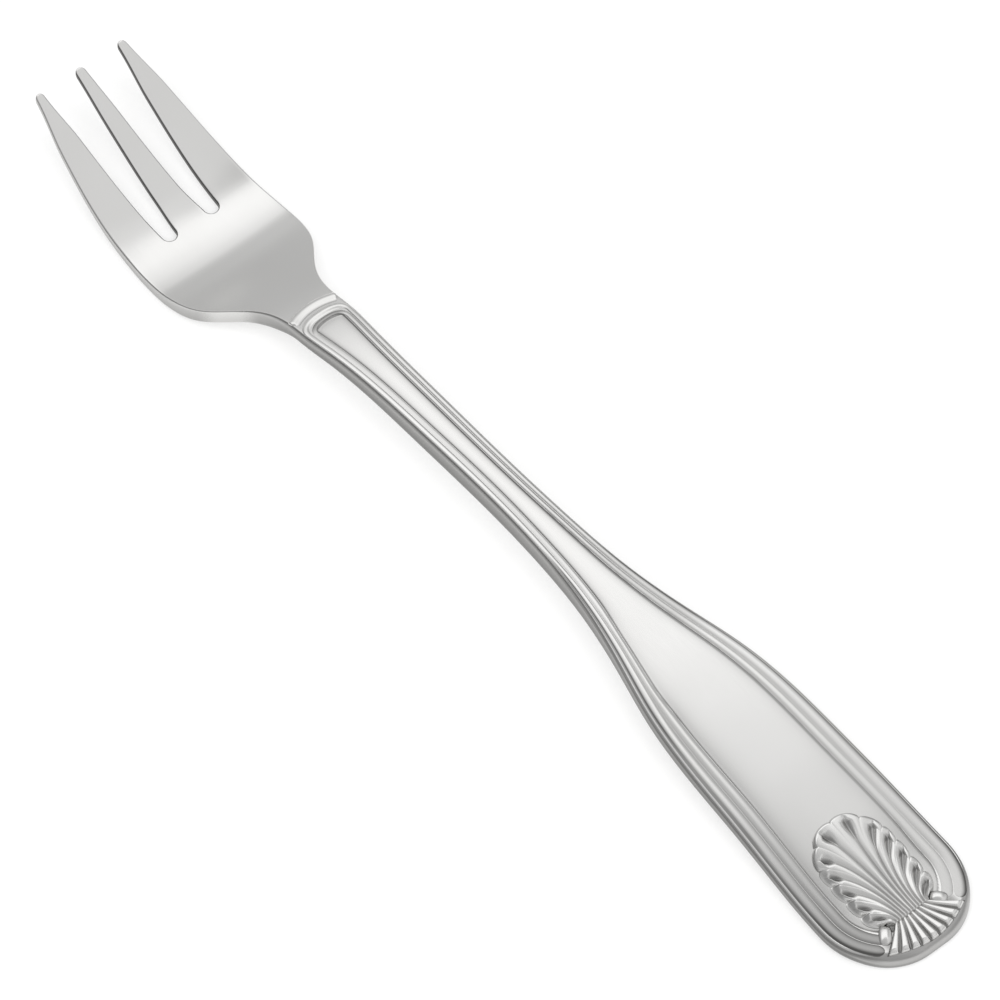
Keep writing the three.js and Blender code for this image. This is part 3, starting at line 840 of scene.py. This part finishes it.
def build_curl(side):
    """The curl beside the hinge: a rounded boss set slantwise."""
    reach, middle_s, middle_y = CURLS[side]
    cosine, sine = CURL_ALONG
    a = np.linspace(0, 1, 16)[:, None]
    turn = np.linspace(0, 2 * math.pi, 49)[None, :]
    u = a * reach * np.sign(np.cos(turn)) * np.abs(np.cos(turn))**CURL_POWER
    w = a * CURL_HALF_WIDTH * np.sign(np.sin(turn)) * np.abs(np.sin(turn))**CURL_POWER
    y = middle_y + cosine * u + sine * w
    s = middle_s - sine * u + cosine * w
    rise = CURL_HEIGHT * np.sqrt(np.maximum(1 - a**BEAD_POWER, 0)) + 0 * turn
    floor = face(s) - CURL_LOWER
    # Painted shade in a dark ring round the foot of the boss.
    upper = points4(s, side * y, floor + rise, 0.5 * a**6)
    lower = points4(s, side * y, floor - CURL_SUNK, 0.7)
    return weld([upper, lower, np.stack([upper[-1], lower[-1]])])


# Satin stainless steel, brushed along the fork. Shade is painted into the colour: it is darker, and
# also rougher, in the corners of the struck pattern, on the sheared edges and along the threads.
STEEL_COLOURS = (0.775, 0.77, 0.758, 1), (0.80, 0.796, 0.786, 1)
PAINTED_SHADE_COLOUR = 0.115, 0.113, 0.11, 1
ROUGHNESS = 0.17, 0.23
DULL_ROUGHNESS = 0.2


def steel(name, seed):
    material = bpy.data.materials.new(name)
    material.use_nodes = True
    nodes, links = material.node_tree.nodes, material.node_tree.links
    shader = nodes["Principled BSDF"]
    shader.inputs["Metallic"].default_value = 1.0

    def noise(scale, detail):
        place = nodes.new("ShaderNodeTexCoord")
        stretch = nodes.new("ShaderNodeMapping")
        stretch.inputs["Location"].default_value = (seed, seed * 0.7, seed * 0.3)
        stretch.inputs["Scale"].default_value = scale
        links.new(place.outputs["Object"], stretch.inputs["Vector"])
        texture = nodes.new("ShaderNodeTexNoise")
        texture.inputs["Scale"].default_value = 1.0
        texture.inputs["Detail"].default_value = detail
        links.new(stretch.outputs["Vector"], texture.inputs["Vector"])
        return texture.outputs["Fac"]

    def mapped(value, low, high):
        node = nodes.new("ShaderNodeMapRange")
        node.inputs["To Min"].default_value = low
        node.inputs["To Max"].default_value = high
        links.new(value, node.inputs["Value"])
        return node.outputs["Result"]

    brush = noise((160, 4200, 4200), 3.0)
    cloud = noise((60, 110, 110), 3.0)
    tint = nodes.new("ShaderNodeValToRGB")
    for element, position, colour in zip(tint.color_ramp.elements, (0.3, 0.7), STEEL_COLOURS):
        element.position = position
        element.color = colour
    links.new(cloud, tint.inputs["Fac"])
    # The point attribute dark is painted shade: it mixes the colour towards a dark grey and raises the
    # roughness.
    painted_shade = nodes.new("ShaderNodeAttribute")
    painted_shade.attribute_name = "dark"
    painted_darkening = nodes.new("ShaderNodeMix")
    painted_darkening.data_type = "RGBA"
    painted_darkening.inputs[7].default_value = PAINTED_SHADE_COLOUR
    links.new(painted_shade.outputs["Fac"], painted_darkening.inputs[0])
    links.new(tint.outputs["Color"], painted_darkening.inputs[6])
    links.new(painted_darkening.outputs[2], shader.inputs["Base Color"])
    rough = nodes.new("ShaderNodeMath")
    rough.operation = "MULTIPLY_ADD"
    rough.inputs[1].default_value = DULL_ROUGHNESS
    links.new(painted_shade.outputs["Fac"], rough.inputs[0])
    links.new(mapped(brush, *ROUGHNESS), rough.inputs[2])
    links.new(rough.outputs["Value"], shader.inputs["Roughness"])
    bump = nodes.new("ShaderNodeBump")
    bump.inputs["Strength"].default_value = 0.03
    bump.inputs["Distance"].default_value = 0.00001
    links.new(brush, bump.inputs["Height"])
    links.new(bump.outputs["Normal"], shader.inputs["Normal"])
    return material


face_steel = steel("satin_steel", 0.0)
relief_steel = steel("struck_steel", 3.1)

# The blank's regions, the threads and the arches. Their normals are shared across the cuts, so that
# the cuts don't show.
blank = {
    "handle_end": build_handle_end(),
    "blade": build_region(np.linspace(END_ROUND, FLARE_START, 52)),
    "flare": build_region(np.linspace(FLARE_START, STEM_START, 41)),
    "stem": build_region(np.linspace(STEM_START, 98.5, 54), np.linspace(98.5, NECK_START, 24)[1:]),
    "neck": build_region(np.linspace(NECK_START, 102.4, 15), np.linspace(102.4, HEAD_START, 29)[1:]),
    "bowl": build_bowl(),
    "tine_left": build_tine("left"),
    "tine_middle": build_tine("middle"),
    "tine_right": build_tine("right"),
}
pieces = {"steel_" + node: (node, built) for node, built in blank.items()}


def tones(path):
    """Sides and stretches of the threads: the left side, the stem, and how much shade is painted on
    them.
    """
    s, y = path.T
    left = smooth(-1.5, 1.5, y)
    slender = smooth(50, 66, s)
    painted_darkening = 0.2 * (1 - smooth(5, 13, s)) + left * 0.4 * (1 - smooth(6, 32, s))
    right_painted_darkening = 0.12 * (1 - smooth(6, 24, s)) + 0.2 * smooth(42, 48, s) - 0.08 * smooth(56, 62, s)
    painted_darkening = painted_darkening + (1 - left) * right_painted_darkening
    return s, left, slender, painted_darkening


path, rise, count = thread_line(outer_offset, OUTER_FIRST_TURN, ARCH_SPRING, ARCH_APEX)
s, left, slender, painted_darkening = tones(path)
# Painted shade on the outer threads: at their feet, in a dark line along the left one, and all over
# them.
between = lerp(0.5 * slender, 0.25 * (1 - smooth(36, 50, s)), left)
height = lerp(lerp(0.035, 0.09, slender), lerp(0.09, 0.065, slender), left)
inward = left * smooth(34, 43, s) * (1 - smooth(56, 62, s))
line = left * lerp(0.6, 1.0, smooth(31, 38, s)) * smooth(16, 22, s) * (1 - smooth(57, 63, s))
outer = bead(path, lerp(outer_width(s), 1.1, rise), lerp(height, 0.17, rise),
             feet=(lerp(between, 0.18, rise), lerp(1.0, 0.15, smooth(54, 64, s))),
             narrow=lerp(lerp(1.9, 2.2, left), 6.0, smooth(56, 66, s)),
             base=lerp(painted_darkening, 0.06, rise), skew=rise - 0.4 * inward, tapers=(0.9, 0.9),
             lift=left * (1 - smooth(44, 60, s)), line=(line, lerp(0.6, 0.45, smooth(36, 52, s))))
pieces["bead_outer_left"] = "thread_outer_left", close_bead(outer[:count])
pieces["arc_inner"] = "arch_inner", close_bead(outer[count - 1:-count + 1])
pieces["bead_outer_right"] = "thread_outer_right", close_bead(outer[-count:])

path, rise, count = thread_line(inner_offset, INNER_FIRST_TURN, INNER_SPRING, INNER_APEX)
s, left, slender, painted_darkening = tones(path)
# Painted shade on the inner threads: at their feet and all over, heaviest on the inner arch.
between = lerp(0.5 * slender, 0.25 * (1 - smooth(36, 50, s)), left)
height = lerp(lerp(0.04, 0.09, slender), lerp(0.09, 0.03, smooth(46, 62, s)), left)
to_right = right_shift(s) * (1 - left) * (1 - rise)
to_left = left_shift(s) * left * (1 - rise)
path = path + np.stack([np.zeros_like(s), (to_left - to_right) / 2], 1)
inner = bead(path, inner_width(s) - to_left - to_right, lerp(height, 0.08, rise),
             feet=(lerp(lerp(0.1, 0.5, slender), lerp(0.18, 0.3, slender), left), between),
             base=lerp(painted_darkening + 0.15 * left * slender, 0.55, smooth(0.1, 0.8, rise)), tapers=(0.7, 0.7))
middle = len(path) // 2
pieces["bead_inner_left"] = "thread_inner_left", close_bead(inner[:middle + 1])
pieces["bead_inner_right"] = "thread_inner_right", close_bead(inner[middle:])

y = np.linspace(BAND_HALF, -BAND_HALF, 81)
path = np.stack([BAND_APEX - 0.5 * (y / 2.5)**2, y], 1)
# The outer arch has painted shade at its feet and a little all over.
pieces["arc_outer"] = "arch_outer", close_bead(
    bead(path, 1.5, 0.2, (0.6, 0.1), base=0.06, skew=1.1, tapers=(0.4, 0.4)))


def read(collection, name, width, kind):
    values = np.empty(len(collection) * width, kind)
    collection.foreach_get(name, values)
    return values.reshape(-1, width) if width > 1 else values


shared = {}
corners = {}
meshes = {name: make_mesh(name, built) for name, (node, built) in pieces.items()}
for name, mesh in meshes.items():
    node, built = pieces[name]
    placed = np.round(read(mesh.vertices, "co", 3, np.float32) * (WELD / MM)).astype(np.int64)
    keys = [tuple(k) for k in placed.tolist()]
    loops = read(mesh.loops, "vertex_index", 1, np.int32)
    owner = np.repeat(np.arange(len(mesh.polygons)), read(mesh.polygons, "loop_total", 1, np.int32))
    normal = read(mesh.polygons, "normal", 3, np.float32)
    flat = np.zeros(len(mesh.polygons), bool)
    flat[built[2]:] = True
    if node == "handle_end":
        flat[built[2] + 1:] = False
    weight = read(mesh.polygons, "area", 1, np.float32) * 1e6 if node in blank else np.ones(len(flat))
    sums = np.zeros((len(keys), 3))
    np.add.at(sums, loops, (normal * np.where(flat, 0, weight)[:, None])[owner])
    for key, n in zip(keys, sums):
        shared[key] = shared.get(key, 0) + n
    corners[name] = keys, loops, owner, normal, flat
for name, mesh in meshes.items():
    node = pieces[name][0]
    keys, loops, owner, normal, flat = corners[name]
    across = np.array([shared[key] for key in keys])
    across /= np.maximum(np.linalg.norm(across, axis=1, keepdims=True), 1e-20)
    split = np.where(flat[owner][:, None], normal[owner], across[loops])
    mesh.normals_split_custom_set(split.tolist())
    make_piece(name, mesh, face_steel if node in blank else relief_steel, node)

# The shell, its foot and the curls.
for name, node, built in (("fan", "shell_fan", build_fan()), ("foot_ribs", "shell_foot", build_foot()),
                          ("curl_left", "scroll_left", build_curl(1)),
                          ("curl_right", "scroll_right", build_curl(-1))):
    make_piece(name, make_mesh(name, built), relief_steel, node)

# The camera of the photo. The scale is in pixels for each millimetre at the aim, and the fork's middle
# lies this many pixels left of and below the picture's middle.
ELEVATION = math.radians(54.57)
TURN = math.radians(49.82)
DISTANCE = 1101.133
SCALE = 9.1115
PICTURE = 1000
PIXELS_LEFT = 1.534
PIXELS_BELOW = 25.688
forward = np.array([math.cos(ELEVATION) * math.sin(TURN), -math.cos(ELEVATION) * math.cos(TURN),
                    -math.sin(ELEVATION)])
right = np.array([-math.cos(TURN), -math.sin(TURN), 0])
upward = np.cross(right, forward)
aim = right * (PIXELS_LEFT / SCALE) + upward * (PIXELS_BELOW / SCALE)
lens = bpy.data.cameras.new("camera")
lens.sensor_width = 36.0
lens.lens = SCALE * DISTANCE / PICTURE * lens.sensor_width
lens.clip_start = 0.01
lens.clip_end = 100
camera = bpy.data.objects.new("camera", lens)


def facing(thing, right, upward, back, place):
    """Turns a camera or lamp, which looks against its own back direction."""
    columns = [right, upward, back, place]
    thing.matrix_world = Matrix([[float(c[i]) for c in columns] for i in range(3)] + [[0, 0, 0, 1]])
    bpy.context.scene.collection.objects.link(thing)


facing(camera, right, upward, -forward, (aim - forward * DISTANCE) * MM)
bpy.context.scene.camera = camera

# Soft studio light: a dome that is dimmer low down, with soft boxes in it.
world = bpy.data.worlds.new("studio")
bpy.context.scene.world = world
world.use_nodes = True
nodes, links = world.node_tree.nodes, world.node_tree.links
direction = nodes.new("ShaderNodeTexCoord").outputs["Generated"]
split = nodes.new("ShaderNodeSeparateXYZ")
links.new(direction, split.inputs["Vector"])
dome = nodes.new("ShaderNodeValToRGB")
stops = [(0.0, 0.28), (0.35, 0.31), (0.6, 0.40), (0.8, 0.55), (1.0, 0.55)]
while len(dome.color_ramp.elements) < len(stops):
    dome.color_ramp.elements.new(0.5)
for element, (position, value) in zip(dome.color_ramp.elements, stops):
    element.position = position
    element.color = (value, value, value, 1)
links.new(split.outputs["Z"], dome.inputs["Fac"])


def combine(operation, *values):
    node = nodes.new("ShaderNodeMath")
    node.operation = operation
    for socket, value in zip(node.inputs, values):
        if isinstance(value, float):
            socket.default_value = value
        else:
            links.new(value, socket)
    return node.outputs["Value"]


def soft_box(light, azimuth, elevation, wide, high, strength):
    """Adds a soft-edged bright panel to the light. wide and high: degrees where each edge starts and
    ends."""
    a, e = math.radians(azimuth), math.radians(elevation)
    centre = np.array([math.cos(e) * math.cos(a), math.cos(e) * math.sin(a), math.sin(e)])
    across = np.array([-math.sin(a), math.cos(a), 0])
    shape = None
    for axis, edges in ((across, wide), (np.cross(centre, across), high)):
        dot = nodes.new("ShaderNodeVectorMath")
        dot.operation = "DOT_PRODUCT"
        dot.inputs[1].default_value = tuple(axis)
        links.new(direction, dot.inputs[0])
        for start, end in (edges[:2], edges[:1:-1]):
            fade = nodes.new("ShaderNodeMapRange")
            fade.interpolation_type = "SMOOTHSTEP"
            fade.inputs["From Min"].default_value = math.sin(math.radians(start))
            fade.inputs["From Max"].default_value = math.sin(math.radians(end))
            links.new(dot.outputs["Value"], fade.inputs["Value"])
            part = fade.outputs["Result"]
            shape = part if shape is None else combine("MULTIPLY", shape, part)
    return combine("MULTIPLY_ADD", shape, strength, light)


# Azimuth, elevation, edges across, edges up and strength of each soft box.
SOFT_BOXES = [
    (-20, 59, (-30, -18, 18, 30), (-30, -5, 6, 15), 0.69),
    (-130, 58, (-34, -22, 22, 34), (-26, -14, 16, 28), 0.25),
    (-26, 32, (-38, -18, 20, 38), (-48, -28, 2, 20), 0.25),
    (-80, 67, (-9, -2, 6, 10), (-8, -4, 4, 8), 0.1),
    (-125, 20, (-55, -37, 37, 55), (-26, -16, 16, 30), 0.3),
    (150, 25, (-60, -40, 40, 60), (-28, -16, 16, 28), 0.3)]
light = dome.outputs["Color"]
for box in SOFT_BOXES:
    light = soft_box(light, *box)
links.new(light, nodes["Background"].inputs["Color"])

# A plain pale floor. Half of what the camera and the steel see of it is its own white, so the shadow
# stays but is faint.
FLOOR_HALF = 3
FLOOR_LEVEL = -2e-5
OWN_WHITE = 0.5
floor_corners = [(x * FLOOR_HALF, y * FLOOR_HALF, FLOOR_LEVEL)
                 for x, y in ((-1, -1), (1, -1), (1, 1), (-1, 1))]
floor_mesh = bpy.data.meshes.new("floor")
floor_mesh.from_pydata(floor_corners, [], [(0, 1, 2, 3)])
floor = bpy.data.objects.new("floor", floor_mesh)
bpy.context.scene.collection.objects.link(floor)
paper = bpy.data.materials.new("floor_paper")
paper.use_nodes = True
floor_mesh.materials.append(paper)
nodes, links = paper.node_tree.nodes, paper.node_tree.links
matt = nodes["Principled BSDF"]
matt.inputs["Base Color"].default_value = (0.97, 0.97, 0.965, 1)
matt.inputs["Roughness"].default_value = 0.9
matt.inputs["Specular IOR Level"].default_value = 0.0
rays = nodes.new("ShaderNodeLightPath").outputs
seen = combine("MAXIMUM", rays["Is Camera Ray"], rays["Is Glossy Ray"])
seen = combine("MAXIMUM", seen, rays["Is Transmission Ray"])
white = nodes.new("ShaderNodeEmission")
blend = nodes.new("ShaderNodeMixShader")
links.new(combine("MULTIPLY", seen, OWN_WHITE), blend.inputs[0])
links.new(matt.outputs["BSDF"], blend.inputs[1])
links.new(white.outputs["Emission"], blend.inputs[2])
links.new(blend.outputs["Shader"], nodes["Material Output"].inputs["Surface"])

# A wide lamp lights the floor and gives the soft shadow. The steel mirrors the dome alone.
LAMP_SIZE = 1.0
LAMP_POWER = 11.0
LAMP_DISTANCE = 1.2
lamp = bpy.data.lights.new("key", "AREA")
lamp.shape = "DISK"
lamp.size = LAMP_SIZE
lamp.energy = LAMP_POWER
key = bpy.data.objects.new("key", lamp)
key.visible_glossy = False
back = np.array([-0.36, 0.36, 0.86])
back /= np.linalg.norm(back)
sideways = np.cross([0, 0, 1], back)
sideways /= np.linalg.norm(sideways)
facing(key, sideways, np.cross(back, sideways), back, back * LAMP_DISTANCE)

bpy.context.scene.view_settings.view_transform = "Standard"
